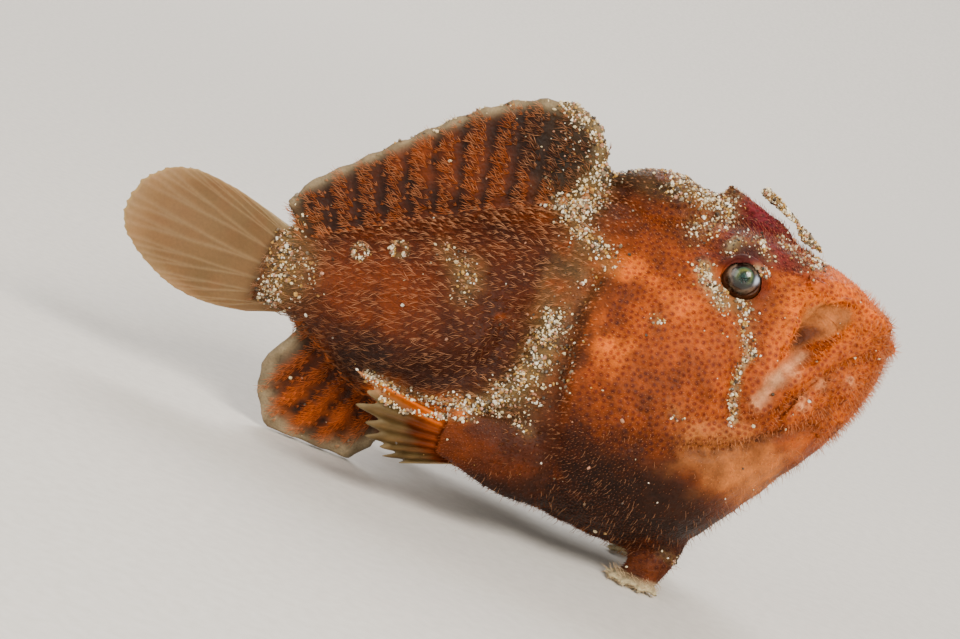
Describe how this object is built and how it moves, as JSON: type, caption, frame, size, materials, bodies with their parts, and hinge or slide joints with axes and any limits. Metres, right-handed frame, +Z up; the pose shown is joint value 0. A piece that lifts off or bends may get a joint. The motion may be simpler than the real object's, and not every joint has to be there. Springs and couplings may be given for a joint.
{
  "type": "frogfish",
  "caption": "Life-size still model of a prickly frogfish standing on its pelvic feet and anal fin, with arm-like pectoral fins, a lure rod and a raised dorsal fin.",
  "frame": {"origin": "on the floor under the middle of the fish's box", "axes": "+X from the tail to the snout, +Z up, +Y to the fish's left; the soles of the pelvic fins and the edge of the anal fin lie on Z = 0"},
  "size_m": [0.0698, 0.0284, 0.0378],
  "materials": {
    "flank_skin": "matte prickly skin",
    "head_skin": "matte prickly skin",
    "spine_skin": "matte prickly skin",
    "fin_skin": "matte prickly skin",
    "hand_skin": "matte prickly skin",
    "tail_membrane": "thin fin skin",
    "eye": "wet and glossy"
  },
  "bodies": {
    "root": {"anal_fin": "fin_skin", "caudal_fin": "tail_membrane", "dorsal_fin": "fin_skin", "eye_left": "eye", "eye_right": "eye", "head": "head_skin", "illicium": "spine_skin", "lower_jaw": "head_skin", "pectoral_arm_left": "flank_skin", "pectoral_arm_right": "flank_skin", "pectoral_fin_left": "hand_skin", "pectoral_fin_right": "hand_skin", "pelvic_fin_left": "hand_skin", "pelvic_fin_right": "hand_skin", "second_dorsal_spine": "spine_skin", "tail_stalk": "flank_skin", "third_dorsal_spine": "spine_skin", "trunk": "flank_skin"}
  },
  "joints": []
}
